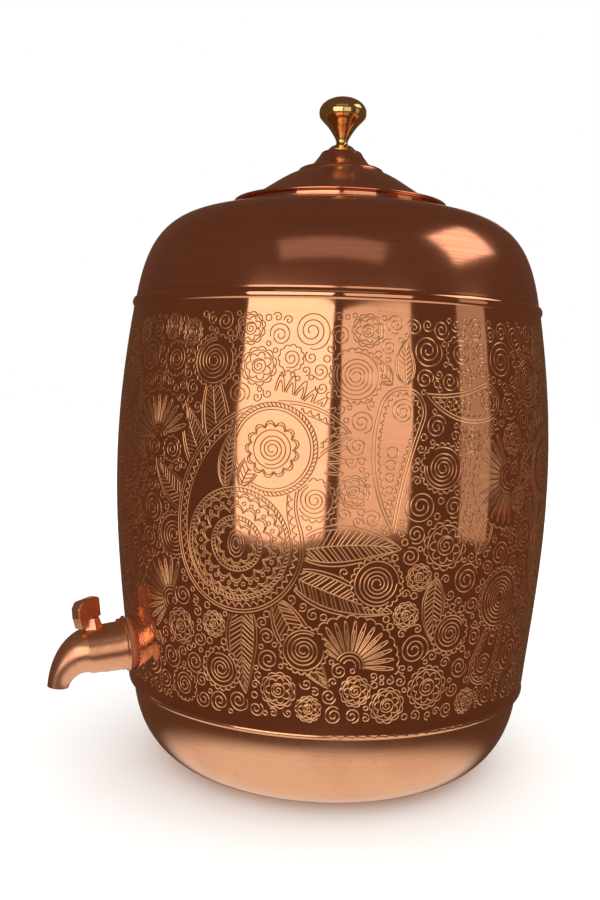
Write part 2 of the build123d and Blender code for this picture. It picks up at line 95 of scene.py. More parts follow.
# %% A helper that adds and links nodes
def add_node(tree, kind, inputs=None, **settings):
    """New node of a kind, with settings as attributes and inputs by name or number: a value or a socket."""
    node = tree.nodes.new(kind)
    for key, value in settings.items():
        setattr(node, key, value)
    for key, value in (inputs or {}).items():
        if isinstance(value, bpy.types.NodeSocket):
            tree.links.new(value, node.inputs[key])
        else:
            node.inputs[key].default_value = value
    return node


def math_node(tree, operation, *values):
    """Output of a Math node on up to three values or sockets."""
    node = add_node(tree, "ShaderNodeMath", dict(enumerate(values)), operation=operation)
    return node.outputs[0]


def smooth_between(tree, value, start, end, low=0.0, high=1.0):
    """Goes from low to high, with soft ends, as value goes from start to end."""
    node = add_node(
        tree,
        "ShaderNodeMapRange",
        {0: value, 1: start, 2: end, 3: low, 4: high},
        interpolation_type="SMOOTHSTEP",
    )
    return node.outputs[0]


# %% [markdown]
# ## What happens to a metal surface
#
# Three effects are shared by every metal here, so each is a node group with its own inputs.
#
# * **Turned lines**: spinning and polishing leave fine rings round the axis. Noise that is stretched along
#   the rings and squeezed across them looks like that, without a seam.
# * **Tarnish**: copper darkens in soft cloudy patches and in small spots.
# * **Hand-worked surface**: sheet that was spun and hammered by hand is never quite even, so its reflections
#   wobble. A broad, shallow bump does that, with the fine lines on top.


# %% Group: turned lines
def new_group(name, inputs, outputs):
    """Empty shader group with float inputs {name: default} and outputs {name: socket type}."""
    group = bpy.data.node_groups.new(name, "ShaderNodeTree")
    for key, value in inputs.items():
        socket = group.interface.new_socket(key, in_out="INPUT", socket_type="NodeSocketFloat")
        socket.default_value = value
    for key, kind in outputs.items():
        group.interface.new_socket(key, in_out="OUTPUT", socket_type=kind)
    source = group.nodes.new("NodeGroupInput").outputs
    sink = group.nodes.new("NodeGroupOutput").inputs
    return group, source, sink


turned_lines, given, result = new_group(
    "turned lines", {"Lines per Metre": 900.0, "Length": 6.0}, {"Lines": "NodeSocketFloat"}
)
place = add_node(turned_lines, "ShaderNodeTexCoord").outputs["Object"]
axis_parts = add_node(turned_lines, "ShaderNodeSeparateXYZ", {0: place}).outputs
flat_place = add_node(turned_lines, "ShaderNodeCombineXYZ", {0: axis_parts[0], 1: axis_parts[1]})
from_axis = add_node(turned_lines, "ShaderNodeVectorMath", {0: flat_place.outputs[0]}, operation="LENGTH")
across_lines = math_node(turned_lines, "ADD", from_axis.outputs["Value"], axis_parts[2])
line_place = add_node(
    turned_lines,
    "ShaderNodeCombineXYZ",
    {
        0: math_node(turned_lines, "MULTIPLY", axis_parts[0], given["Length"]),
        1: math_node(turned_lines, "MULTIPLY", axis_parts[1], given["Length"]),
        2: math_node(turned_lines, "MULTIPLY", across_lines, given["Lines per Metre"]),
    },
)
line_noise = add_node(
    turned_lines, "ShaderNodeTexNoise",
    {"Vector": line_place.outputs[0], "Scale": 1.0, "Detail": 3.0, "Roughness": 0.55}
)
turned_lines.links.new(line_noise.outputs[0], result["Lines"])
print("group", turned_lines.name)

# %% Group: tarnish
tarnish, given, result = new_group(
    "tarnish", {"Patches per Metre": 9.0, "Spots per Metre": 160.0, "Spread": 0.5},
    {"Tarnish": "NodeSocketFloat"}
)
place = add_node(tarnish, "ShaderNodeTexCoord").outputs["Object"]
cloud = add_node(
    tarnish, "ShaderNodeTexNoise",
    {"Vector": place, "Scale": given["Patches per Metre"], "Detail": 4.0, "Distortion": 0.6}
)
speckle = add_node(
    tarnish, "ShaderNodeTexNoise", {"Vector": place, "Scale": given["Spots per Metre"], "Detail": 3.0}
)
cloud_mask = smooth_between(tarnish, cloud.outputs[0], 0.42, 0.68)
spot_mask = smooth_between(tarnish, speckle.outputs[0], 0.6, 0.76)
both = math_node(tarnish, "MULTIPLY_ADD", spot_mask, 0.45, cloud_mask)
spread = math_node(tarnish, "MULTIPLY", both, given["Spread"])
tarnish.links.new(math_node(tarnish, "MINIMUM", spread, 1.0), result["Tarnish"])
print("group", tarnish.name)

# %% Group: hand-worked surface
hand_worked, given, result = new_group(
    "hand-worked surface",
    {"Waves per Metre": 22.0, "Wave Depth": 0.0004, "Lines": 0.5, "Line Depth": 0.00002},
    {"Normal": "NodeSocketVector"},
)
place = add_node(hand_worked, "ShaderNodeTexCoord").outputs["Object"]
wave = add_node(
    hand_worked, "ShaderNodeTexNoise",
    {"Vector": place, "Scale": given["Waves per Metre"], "Detail": 1.5, "Roughness": 0.4}
)
wave_height = math_node(hand_worked, "MULTIPLY", wave.outputs[0], given["Wave Depth"])
line_height = math_node(hand_worked, "MULTIPLY", given["Lines"], given["Line Depth"])
height = math_node(hand_worked, "ADD", wave_height, line_height)
bump = add_node(hand_worked, "ShaderNodeBump", {"Height": height, "Strength": 1.0, "Distance": 1.0})
hand_worked.links.new(bump.outputs[0], result["Normal"])
print("group", hand_worked.name)


# %% [markdown]
# ## The metals
#
# A metal is one Principled shader: metallic, with a base colour that is the tint of its reflections. The
# tarnish mask mixes in a darker tint and raises the roughness, and the turned lines vary both a little.
# Polished copper is smooth enough to mirror what stands round it; the bowl and the tap are satin.


# %% Build a metal from the groups
def metal(
    name, clean, dull, smooth, rough, lines, length, line_depth, waves, depth, patches, spread,
    streak=0.5
):
    """Metal with a clean and a dull tint, a roughness range, turned lines, waves, tarnish and streaks."""
    material = bpy.data.materials.new(name)
    material.use_nodes = True
    tree = material.node_tree
    shader = tree.nodes["Principled BSDF"]
    shader.inputs["Metallic"].default_value = 1.0
    ring = add_node(tree, "ShaderNodeGroup", node_tree=turned_lines)
    ring.inputs["Lines per Metre"].default_value = lines
    ring.inputs["Length"].default_value = length
    patch = add_node(tree, "ShaderNodeGroup", node_tree=tarnish)
    patch.inputs["Patches per Metre"].default_value = patches
    patch.inputs["Spread"].default_value = spread
    surface = add_node(tree, "ShaderNodeGroup", node_tree=hand_worked)
    surface.inputs["Waves per Metre"].default_value = waves
    surface.inputs["Wave Depth"].default_value = depth
    surface.inputs["Line Depth"].default_value = line_depth
    tree.links.new(ring.outputs["Lines"], surface.inputs["Lines"])
    tint = add_node(tree, "ShaderNodeMix", data_type="RGBA")
    tint.inputs[6].default_value = (*clean, 1)
    tint.inputs[7].default_value = (*dull, 1)
    streaks = math_node(
        tree, "MULTIPLY_ADD", math_node(tree, "SUBTRACT", ring.outputs["Lines"], 0.45), streak,
        patch.outputs["Tarnish"]
    )
    tree.links.new(math_node(tree, "MAXIMUM", streaks, 0.0), tint.inputs[0])
    tree.links.new(tint.outputs[2], shader.inputs["Base Color"])
    worn = math_node(tree, "MULTIPLY_ADD", ring.outputs["Lines"], 0.5, patch.outputs["Tarnish"])
    gloss = smooth_between(tree, worn, 0.1, 1.1, smooth, rough)
    tree.links.new(gloss, shader.inputs["Roughness"])
    tree.links.new(surface.outputs["Normal"], shader.inputs["Normal"])
    return material


polished_copper = metal(
    "polished copper",
    (0.93, 0.45, 0.26),
    (0.64, 0.25, 0.13),
    smooth=0.05, rough=0.17, lines=700, length=5, line_depth=6e-7,
    waves=26, depth=3.0e-4, patches=10, spread=0.35,
)
brushed_copper = metal(
    "brushed copper",
    (0.86, 0.38, 0.23),
    (0.54, 0.20, 0.11),
    smooth=0.13, rough=0.30, lines=1100, length=4, line_depth=1.8e-6,
    waves=20, depth=2.4e-4, patches=9, spread=0.45, streak=1.2,
)
satin_copper = metal(
    "satin copper",
    (0.95, 0.51, 0.30),
    (0.74, 0.33, 0.18),
    smooth=0.14, rough=0.27, lines=900, length=6, line_depth=1.5e-6,
    waves=24, depth=2.0e-4, patches=12, spread=0.4,
)
tap_copper = metal(
    "cast tap copper",
    (0.94, 0.48, 0.29),
    (0.58, 0.23, 0.13),
    smooth=0.26, rough=0.42, lines=1500, length=60, line_depth=1e-6,
    waves=90, depth=4e-5, patches=40, spread=0.45,
)
knob_brass = metal(
    "polished brass",
    (0.88, 0.64, 0.28),
    (0.60, 0.40, 0.15),
    smooth=0.1, rough=0.22, lines=1800, length=30, line_depth=8e-7,
    waves=60, depth=2e-5, patches=50, spread=0.4,
)
plain_brass = metal(
    "plain brass",
    (0.80, 0.60, 0.30),
    (0.52, 0.37, 0.16),
    smooth=0.25, rough=0.45, lines=1500, length=30, line_depth=2e-6,
    waves=60, depth=2e-5, patches=40, spread=0.5,
)
inside_copper = metal(
    "inside copper",
    (0.90, 0.45, 0.28),
    (0.60, 0.26, 0.15),
    smooth=0.28, rough=0.5, lines=800, length=6, line_depth=3e-6,
    waves=24, depth=1.2e-4, patches=12, spread=0.6,
)
print("metals", [m.name for m in bpy.data.materials if m.name.endswith(("copper", "brass"))])


# %% Seal rubber
def rubber(name, colour):
    """Matt rubber with a fine moulded grain."""
    material = bpy.data.materials.new(name)
    material.use_nodes = True
    tree = material.node_tree
    shader = tree.nodes["Principled BSDF"]
    place = add_node(tree, "ShaderNodeTexCoord").outputs["Object"]
    grain = add_node(tree, "ShaderNodeTexNoise", {"Vector": place, "Scale": 2600.0, "Detail": 3.0})
    dust = add_node(tree, "ShaderNodeTexNoise", {"Vector": place, "Scale": 120.0, "Detail": 4.0})
    tint = add_node(tree, "ShaderNodeMix", data_type="RGBA")
    tint.inputs[6].default_value = (*colour, 1)
    tint.inputs[7].default_value = (0.09, 0.085, 0.08, 1)
    tree.links.new(smooth_between(tree, dust.outputs[0], 0.5, 0.75), tint.inputs[0])
    tree.links.new(tint.outputs[2], shader.inputs["Base Color"])
    tree.links.new(smooth_between(tree, grain.outputs[0], 0.3, 0.7, 0.6, 0.85), shader.inputs["Roughness"])
    bump = add_node(tree, "ShaderNodeBump", {"Height": grain.outputs[0], "Strength": 0.3, "Distance": 0.0001})
    tree.links.new(bump.outputs[0], shader.inputs["Normal"])
    return material


seal_rubber = rubber("seal rubber", (0.02, 0.019, 0.018))
seal_fibre = rubber("seal fibre", (0.34, 0.10, 0.045))

# %% Give every piece of the frame its finish
finish_of = {
    "barrel": polished_copper,
    "shoulder": brushed_copper,
    "upper_bead": polished_copper,
    "mouth_ring": polished_copper,
    "lid_cap": brushed_copper,
    "bottom_bowl": satin_copper,
    "lower_bead": satin_copper,
    "lid_skirt": inside_copper,
    "lid_knob": knob_brass,
    "outer_gasket": seal_fibre,
    "inner_gasket": seal_rubber,
    "tap_escutcheon": tap_copper,
    "tap_body": tap_copper,
    "tap_plug": tap_copper,
    "tap_lever": tap_copper,
}
for name, piece in nodes.items():
    finish = finish_of.get(name, plain_brass)
    if not piece.material_slots:
        piece.data.materials.append(finish)
    for slot in piece.material_slots:
        slot.material = finish
print("finished", len(nodes), "pieces")

# %% [markdown]
# ## Drawing the engraving flat
#
# On the real vessel the pattern is cut by hand with a graver, in the manner of henna drawing: a big
# paisley, feathered leaves, sun fans, and small curls that fill every gap. It is easiest to draw it flat,
# as if the barrel were unrolled, and to bend it round afterwards. The flat sheet is half the way round, so
# it is used twice. Its left and right edges meet, and that is why every column below counts modulo the
# width.
#
# Motifs in front are drawn first. Each one marks its area as taken, and later lines stop at that area, the
# same way that an engraver leaves room for the next motif.

# %% The flat sheet and its taken areas
sheet_width = math.pi * belly_radius
zone_foot, zone_head = barrel_foot + 6.0, barrel_head - 6.5
cell = 0.5
columns, rows = round(sheet_width / cell), round((zone_head - zone_foot) / cell)
cell_width = sheet_width / columns
taken = np.zeros((rows, columns), bool)
drawn = {"motifs": [], "curls": []}
line_step = 0.8


def cells_of(points):
    """Row and column of each point of the sheet, and whether the row is inside the engraved zone."""
    points = np.asarray(points)
    column = np.floor((points[..., 0] + sheet_width / 2) / cell_width).astype(int) % columns
    row = np.floor((points[..., 1] - zone_foot) / cell).astype(int)
    return np.clip(row, 0, rows - 1), column, (row >= 0) & (row < rows)


def even_steps(points, step):
    """The same line with points at even steps along it."""
    points = np.asarray(points, float)
    along = np.concatenate([[0], np.cumsum(np.hypot(*np.diff(points, axis=0).T))])
    count = max(3, round(along[-1] / step) + 1)
    at = np.linspace(0, along[-1], count)
    return np.column_stack([np.interp(at, along, points[:, 0]), np.interp(at, along, points[:, 1])])


def draw(kind, points, step=line_step):
    """Adds a line to the sheet, cut wherever an earlier motif has taken the area."""
    line = even_steps(points, step)
    row, column, inside = cells_of(line)
    free = inside & ~taken[row, column]
    edges = np.flatnonzero(np.diff(np.concatenate([[0], free.astype(int), [0]])))
    for first, last in zip(edges[::2], edges[1::2]):
        if last - first >= 3:
            drawn[kind].append(line[first:last])


def take(outline):
    """Marks the inside of a closed outline as taken."""
    outline = np.asarray(outline)
    low, high = outline.min(axis=0), outline.max(axis=0)
    xs = np.arange(low[0], high[0], cell / 2)
    ys = np.arange(low[1], high[1], cell / 2)
    x, y = np.meshgrid(xs, ys)
    inside = np.zeros(x.shape, bool)
    for (x0, y0), (x1, y1) in zip(outline, np.roll(outline, -1, axis=0)):
        if y0 != y1:
            crosses = (y0 > y) != (y1 > y)
            inside ^= crosses & (x < (x1 - x0) * (y - y0) / (y1 - y0) + x0)
    row, column, in_zone = cells_of(np.column_stack([x[inside], y[inside]]))
    taken[row[in_zone], column[in_zone]] = True


print("sheet", round(sheet_width), "x", round(zone_head - zone_foot), "mm, cells", columns, "x", rows)

# %% [markdown]
# ### The strokes that every motif is made of
#
# A graver makes only a few kinds of mark: a ring, a curl, a row of bumps and a row of beads. Bumps and beads
# follow any line, so the same two functions edge a circle, a leaf or a paisley.


# %% Rings, curls, bumps and beads
def ring(centre, radius, turn=2 * math.pi, start=0.0):
    """Points of a circle or of part of one."""
    angles = np.linspace(start, start + turn, max(12, round(abs(turn) * radius / 0.6)))
    return np.column_stack([centre[0] + radius * np.cos(angles), centre[1] + radius * np.sin(angles)])


def curl(centre, radius, start, hand, turns=2.1):
    """Points of a spiral that closes in to a small eye."""
    t = np.linspace(0, 1, 90)
    reach = radius * (1 - 0.84 * t**0.9)
    angle = start + hand * turns * 2 * math.pi * t
    return np.column_stack([centre[0] + reach * np.cos(angle), centre[1] + reach * np.sin(angle)])


def sideways(line):
    """Unit vectors to the left of a line at each of its points."""
    run = np.gradient(line, axis=0)
    run /= np.maximum(np.hypot(run[:, 0], run[:, 1]), 1e-9)[:, None]
    return np.column_stack([-run[:, 1], run[:, 0]])


def bumps(line, pitch, height):
    """A row of round bumps along a line, to its left, or to its right if height is negative."""
    fine = even_steps(line, 0.4)
    along = np.arange(len(fine)) * 0.4
    count = max(1, round(along[-1] / pitch))
    lift = abs(height) * np.abs(np.sin(np.pi * along / along[-1] * count)) ** 0.6
    return fine + sideways(fine) * (np.sign(height) * lift)[:, None]


def edge_with_bumps(kind, line, pitch, height):
    """Draws a row of bumps with steps small enough to stay round."""
    draw(kind, bumps(line, pitch, height), 0.42)


def beads(kind, line, pitch, radius):
    """Draws small rings in a row along a line."""
    for centre in even_steps(line, pitch)[:-1]:
        draw(kind, ring(centre, radius), 0.55)


# %% [markdown]
# ### Leaves, fans, drops and bands
#
# A leaf and a drop are the same idea: a spine, with a width that changes along it. Narrowing the width by
# a fixed amount gives the next line in, so a drop's bands stay the same distance apart. Ropes, scallops and
# flames all stand on a circle.


# %% Shapes that follow a spine
def spine(start, heading, length, bend, count=60):
    """Points of a smoothly bending line from start; heading and bend are in degrees."""
    t = np.linspace(0, 1, count)
    angle = np.radians(heading + bend * t)
    step = length / (count - 1)
    moved = np.cumsum(np.column_stack([np.cos(angle), np.sin(angle)]) * step, axis=0)
    return np.asarray(start) + moved - moved[0]


def outline_of(line, half_width, inset=0.0):
    """Closed outline round a spine, with a round foot, at a given distance inside the shape's edge."""
    width = half_width - inset
    keep = width > 0
    line, width = line[keep], width[keep]
    left = sideways(line)
    foot = width[0]
    back = math.atan2(*left[0][::-1])
    cap = ring(line[0], foot, math.pi, back)[1:-1] if foot > 0.5 else line[:1]
    return np.concatenate([(line + left * width[:, None])[::-1], cap, line - left * width[:, None]])


def leaf(kind, start, heading, length, width, bend=0.0, vein_gap=2.5, double=True):
    """A feathered leaf: outline, midrib and herringbone veins."""
    line = spine(start, heading, length, bend)
    t = np.linspace(0, 1, len(line))
    half = width / 2 * np.sin(np.pi * t**0.75) ** 0.85
    left = sideways(line)
    edge_left, edge_right = line + left * half[:, None], line - left * half[:, None]
    draw(kind, edge_left)
    draw(kind, edge_right)
    draw(kind, line[: int(len(line) * 0.97)])
    inner = 0.8 if double else 1.0
    if double:
        draw(kind, (line + left * (half * inner)[:, None])[4:-4])
        draw(kind, (line - left * (half * inner)[:, None])[4:-4])
    ahead = int(len(line) * width * 0.3 / length)
    for k in range(int(length / vein_gap)):
        i = int(k * vein_gap / length * len(line))
        j = min(len(line) - 1, i + ahead)
        if half[j] * inner > 1.2:
            for side in (1, -1):
                draw(kind, np.array([line[i], (line[j] + side * left[j] * half[j] * inner)]), 1.0)
    take(np.concatenate([edge_left, edge_right[::-1]]))


def fan(kind, centre, heading, spread, inner, outer, petals):
    """A sun fan: half rings at the heart, long petals and a scalloped rim."""
    first, turn = math.radians(heading - spread / 2), math.radians(spread)
    for radius in (inner * 0.45, inner * 0.75, inner):
        draw(kind, ring(centre, radius, turn, first))
    for k in range(petals):
        a = first + turn * (k + 0.5) / petals
        half = turn / petals * 0.42
        t = np.linspace(0, 1, 30)
        reach = inner + 0.8 + (outer - inner) * np.sin(np.pi * t)
        swing = a + half * (2 * t - 1) * np.clip(np.sin(np.pi * t) * 1.4 + 0.35, 0, 1)
        draw(kind, np.column_stack([centre[0] + reach * np.cos(swing), centre[1] + reach * np.sin(swing)]))
        rib = np.array([[inner + 1.5, a], [inner + (outer - inner) * 0.75, a]])
        draw(kind, np.asarray(
            centre) + np.column_stack([rib[:, 0] * np.cos(rib[:, 1]), rib[:, 0] * np.sin(rib[:, 1])])
        )
    rim = ring(centre, outer + 2.2, turn, first)
    edge_with_bumps(kind, rim, outer * turn / petals, -1.6)
    take(np.concatenate([[centre], ring(centre, outer + 3.6, turn, first)]))


def drop(kind, start, heading, length, width, bend):
    """A drop or small paisley: double edge, scallops inside, a curl at its heart and beads up to its tip."""
    line = spine(start, heading, length, bend, 120)
    t = np.linspace(0, 1, len(line))
    half = width / 2 * (1 - t**1.7) ** 0.9
    draw(kind, outline_of(line, half))
    draw(kind, outline_of(line, half, 1.7))
    edge_with_bumps(kind, outline_of(line, half, 2.2), 4.2, 2.2)
    draw(kind, curl(start, width * 0.27, 0.5, 1, width * 0.27 / 2.8))
    for k in range(5):
        i = int(len(line) * (0.34 + 0.1 * k))
        if half[i] > 4.5:
            draw(kind, ring(line[i], 0.26 * half[i]), 0.5)
    take(outline_of(line, half + 0.7))
    return line


def ticks(kind, centre, inner, outer, count, slant=0.0):
    """A rope-like band: short lines from an inner to an outer radius."""
    for k in range(count):
        a, b = 2 * math.pi * k / count, 2 * math.pi * (k + slant) / count
        draw(
            kind,
            np.asarray(centre) + np.array([[inner * math.cos(a), inner * math.sin(a)], [outer * math.cos(b), outer * math.sin(b)]]),
            (outer - inner) / 4,
        )


def scallops(kind, centre, radius, pitch, height):
    """Two rows of scallops round a circle, one just outside the other."""
    count = round(2 * math.pi * radius / pitch)
    for grow in (0.0, 1.1):
        edge_with_bumps(
            kind, ring(centre, radius + grow * 0.3), 2 * math.pi * radius / count, -(height + grow)
        )


def crown(kind, centre, radius, first, last, count, height):
    """Flame-shaped petals that stand on a ring, between two angles in degrees."""
    for k in range(count):
        a = math.radians(first + (last - first) * (k + 0.5) / count)
        half = math.radians(last - first) / count * 0.5
        t = np.linspace(-1, 1, 31)
        for size in (1.0, 0.62):
            reach = radius + 0.6 + height * size * (1 - t**2) ** 0.8
            swing = a + half * size * t * (0.35 + 0.65 * np.abs(t))
            draw(
                kind,
                np.column_stack([centre[0] + reach * np.cos(swing), centre[1] + reach * np.sin(swing)])
            )
    turn = math.radians(last - first)
    take(np.concatenate([ring(centre, radius + height * 0.8, turn, math.radians(first)), [centre]]))


print("strokes, leaves, fans, drops and bands are ready")

# %% [markdown]
# ### Laying the motifs out
#
# The main figure stands left of the middle. It is one big paisley: a round lower end made of rings round an
# oval flower, and an upper end that turns over into a curl, with flames along its back. Leaves feather out
# from it, fans and large curls sit between them, and the other half of the sheet has a smaller figure that
# leans the other way. Positions are in millimetres along the belly and in height.


# %% Flowers, large curls and the paisley
def flower(kind, centre, radius, petals):
    """A round flower: an eye, petals, and a scalloped double rim."""
    draw(kind, curl(centre, radius * 0.34, 1.0, 1, 1.6), 0.5)
    draw(kind, ring(centre, radius * 0.4))
    edge_with_bumps(kind, ring(centre, radius * 0.46), 2 * math.pi * radius * 0.46 / petals, -radius * 0.3)
    draw(kind, ring(centre, radius * 0.86))
    edge_with_bumps(
        kind, ring(centre, radius * 0.9), 2 * math.pi * radius * 0.9 / (petals * 1.5), -radius * 0.16
    )
    take(ring(centre, radius * 1.08))


def big_curl(kind, centre, radius, start, hand):
    """A double-edged curl with a row of bumps round it."""
    draw(kind, curl(centre, radius, start, hand, radius / 2.7))
    draw(kind, ring(centre, radius + 1.3, 1.7 * math.pi, start))
    edge_with_bumps(kind, ring(centre, radius + 1.9), 3.6, -1.9)
    take(ring(centre, radius + 3.4))


def rosette(kind, centre, scale):
    """The round lower end of the paisley: rings, rope, beads and scallops round an oval."""
    oval = ring((0, 0), 1.0) * (3.4, 5.2)
    for size in (0.55, 1.0, 1.45):
        draw(kind, np.asarray(centre) + oval * size * scale)
    scallops(kind, centre, 8.4 * scale, 5.3, 2.4)
    draw(kind, ring(centre, 13.0 * scale))
    ticks(kind, centre, 13.0 * scale, 15.2 * scale, round(44 * scale), 0.5)
    draw(kind, ring(centre, 15.2 * scale))
    scallops(kind, centre, 16.4 * scale, 7.6, 3.8)
    beads(kind, ring(centre, 22.4 * scale), 4.4, 1.0)
    scallops(kind, centre, 24.0 * scale, 6.0, 2.2)
    draw(kind, ring(centre, 28.4 * scale))
    ticks(kind, centre, 28.4 * scale, 30.6 * scale, round(80 * scale), 0.8)
    draw(kind, ring(centre, 30.6 * scale))
    take(ring(centre, 31.2 * scale))


def great_paisley(kind, foot, top, scale, hand):
    """The whole figure from its round foot to the curl at its top; hand is 1 or -1."""
    rosette(kind, foot, scale)
    draw(kind, curl(top, 8.5 * scale, -2.0, hand, 3.2))
    draw(kind, ring(top, 10.2 * scale))
    scallops(kind, top, 11.2 * scale, 5.4, 2.4)
    take(ring(top, 15.4 * scale))
    leaf(
        kind, (foot[0] + hand * 2 * scale, foot[1] + 31 * scale), 90 - hand * 18, 26 * scale,
        11 * scale, -hand * 30
    )
    leaf(
        kind, (foot[0] - hand * 7 * scale, foot[1] + 30 * scale), 90 + hand * 4, 34 * scale, 10 * scale,
        -hand * 24
    )
    for radius in (21.0, 22.6, 24.8):
        draw(kind, ring(top, radius * scale))
    ticks(kind, top, 22.6 * scale, 24.8 * scale, round(64 * scale), 0.8)
    take(ring(top, 25.4 * scale))
    back = spine(foot, 90 + hand * 14, 104 * scale, -hand * 118, 140)
    t = np.linspace(0, 1, len(back))
    half = 38 * scale * (1 - t**1.9) ** 0.9
    for inset in (0.0, 1.6, 6.4):
        draw(kind, outline_of(back, half, inset * scale))
    edge_with_bumps(kind, outline_of(back, half, 2.2 * scale), 4.6, 3.0 * scale)
    take(outline_of(back, half + 0.8))
    crown(kind, top, 30.0 * scale, 90 - 112 * (hand > 0), 202 - 112 * (hand > 0), 11, 10 * scale)


m = "motifs"
great_paisley(m, (-51, barrel_middle - 14), (-32, barrel_middle + 38), 1.0, 1)
for spot, size, start, hand in (
    ((-8, barrel_middle + 12), 8, 2.0, 1),
    ((27, barrel_middle - 32), 11, 0.0, -1),
    ((-12, barrel_middle - 70), 10, 1.0, 1),
    ((-62, barrel_middle - 86), 9, 2.0, -1),
    ((62, barrel_middle + 30), 10, 3.0, 1),
    ((74, barrel_middle - 62), 9, 0.5, 1),
    ((-94, barrel_middle - 14), 10, 1.0, -1),
    ((12, barrel_middle + 78), 11, 2.6, 1),
    ((112, barrel_middle - 46), 15, 0.0, -1),
    ((-70, barrel_middle + 84), 11, 1.5, 1),
    ((134, barrel_middle + 78), 11, 1.5, 1),
    ((-148, barrel_middle - 84), 12, 0.4, -1),
):
    big_curl(m, spot, size, start, hand)
fan(m, (14, barrel_middle - 78), 72, 165, 8, 25, 13)
fan(m, (112, barrel_middle + 24), 195, 170, 9, 26, 14)
fan(m, (-98, barrel_middle - 52), 150, 170, 8, 24, 12)
fan(m, (-110, barrel_middle + 40), 100, 175, 8, 24, 12)
leaf(m, (-18, barrel_middle - 16), 16, 58, 22, -26)
leaf(m, (-22, barrel_middle - 28), -24, 62, 20, 10)
leaf(m, (-28, barrel_middle - 42), -66, 58, 19, 16)
leaf(m, (-46, barrel_middle - 44), -100, 54, 19, 20)
leaf(m, (-64, barrel_middle + 18), 132, 50, 18, -26)
leaf(m, (-60, barrel_middle + 30), 108, 54, 18, -14)
leaf(m, (-76, barrel_middle + 2), 158, 44, 16, -30)
drop(m, (38, barrel_middle + 60), 250, 66, 26, 34)
leaf(m, (40, barrel_middle + 74), 100, 24, 11, -20)
leaf(m, (32, barrel_middle + 74), 130, 22, 10, 20)
flower(m, (66, barrel_middle - 12), 13, 9)
drop(m, (92, barrel_middle + 66), 200, 42, 20, -50)
leaf(m, (62, barrel_middle - 30), -100, 40, 14, 30)
leaf(m, (88, barrel_middle - 18), 60, 34, 12, 40)
flower(m, (62, barrel_middle - 92), 12, 9)
drop(m, (104, barrel_middle - 84), 60, 44, 24, 50)
great_paisley(m, (176, barrel_middle - 22), (160, barrel_middle + 28), 0.86, -1)
for heading, length, width, bend in ((40, 46, 16, 24), (10, 44, 15, 30), (-20, 42, 15, 30)):
    leaf(m, (196, barrel_middle + 8), heading, length, width, bend)
for heading, length, width, bend in ((-120, 50, 17, 20), (-84, 50, 18, 12), (-46, 48, 16, -18)):
    leaf(m, (176, barrel_middle - 48), heading, length, width, bend)
flower(m, (-140, barrel_middle - 2), 14, 9)
drop(m, (-146, barrel_middle + 70), 280, 54, 26, 40)
drop(m, (204, barrel_middle + 74), 200, 40, 22, -40)
leaf(m, (-130, barrel_middle - 50), -70, 38, 14, 30)
print("large motifs:", len(drawn[m]), "lines, taken", round(taken.mean() * 100), "% of the sheet")

# %% [markdown]
# ### Filling the gaps with curls
#
# What is left is filled with curls of several sizes, the largest first, each in a free spot found by trying
# random places. The seed is fixed, so the pattern is the same every time. Some of the large spots get a
# flower or a curl with a row of bumps, and the last tiny gaps get a bead.

# %% Fill with curls and beads
curl_seed = 11
dice = random.Random(curl_seed)


def disc_is_free(centre, radius):
    """True if no cell within radius of the centre is taken or outside the zone."""
    if centre[1] - radius < zone_foot or centre[1] + radius > zone_head:
        return False
    reach = int(radius / cell) + 1
    row, column, _ = cells_of(np.array(centre))
    grid_rows = np.arange(row - reach, row + reach + 1)
    grid_columns = np.arange(column - reach, column + reach + 1)
    r, c = np.meshgrid(grid_rows, grid_columns, indexing="ij")
    near = (r - row) ** 2 + (c - column) ** 2 <= (radius / cell) ** 2
    return not taken[np.clip(r[near], 0, rows - 1), c[near] % columns].any()


curl_count = 0
for radius, tries in (
    (10.5, 900),
    (9.0, 1200),
    (7.6, 2000),
    (6.4, 3500),
    (5.4, 5000),
    (4.5, 7000),
    (3.7, 9000),
    (2.9, 12000),
    (2.2, 14000),
    (1.6, 14000),
):
    for _ in range(tries):
        spot = (
            dice.uniform(-sheet_width / 2, sheet_width / 2),
            dice.uniform(zone_foot + radius, zone_head - radius)
        )
        if not disc_is_free(spot, radius):
            continue
        start, hand, kind = dice.uniform(0, 2 * math.pi), dice.choice((-1, 1)), dice.random()
        if radius > 7 and kind < 0.25:
            flower("curls", spot, radius * 0.94, 7)
        elif radius > 7 and kind < 0.5:
            edge_with_bumps("curls", ring(spot, radius * 0.8), 3.4, -radius * 0.17)
            draw("curls", curl(spot, radius * 0.7, start, hand, radius * 0.25), 0.6)
        elif radius > 2.5:
            draw("curls", curl(spot, radius * 0.99, start, hand, 0.75 + radius * 0.19), 0.6)
            if radius > 4:
                tail = spine(
                    spot + radius * np.array([math.cos(start), math.sin(start)]),
                    math.degrees(start) - hand * 90, radius, -hand * 70
                )
                draw("curls", tail, 0.6)
        else:
            draw("curls", ring(spot, radius * 0.8), 0.55)
        take(ring(spot, radius - 0.25))
        curl_count += 1
metres = {kind: round(sum(np.hypot(*np.diff(s, axis=0).T).sum() for s in lines) / 1000, 1) for kind, lines in drawn.items()}
print("curls:", curl_count, "metres of line on the sheet:", metres)

# %% [markdown]
# ## Bending the engraving round the barrel
#
# A cut line has a width and two slopes. There are tens of metres of line, so it becomes several pieces,
# each of
# a size that stays easy to handle. The node tree below turns each flat line into a narrow ribbon, copies
# the sheet as many times as it goes round, and bends it onto the barrel using the fitted outline. Lines that
# would run under the tap's round plate are left out, because the plate covers the wall there.
#
# The ribbon lies a few hundredths of a millimetre over the wall, and it can't go below it. What makes it look
# cut is its shading normal, which is set afterwards: each half leans towards the middle, like the two sides
# of a graver's groove.

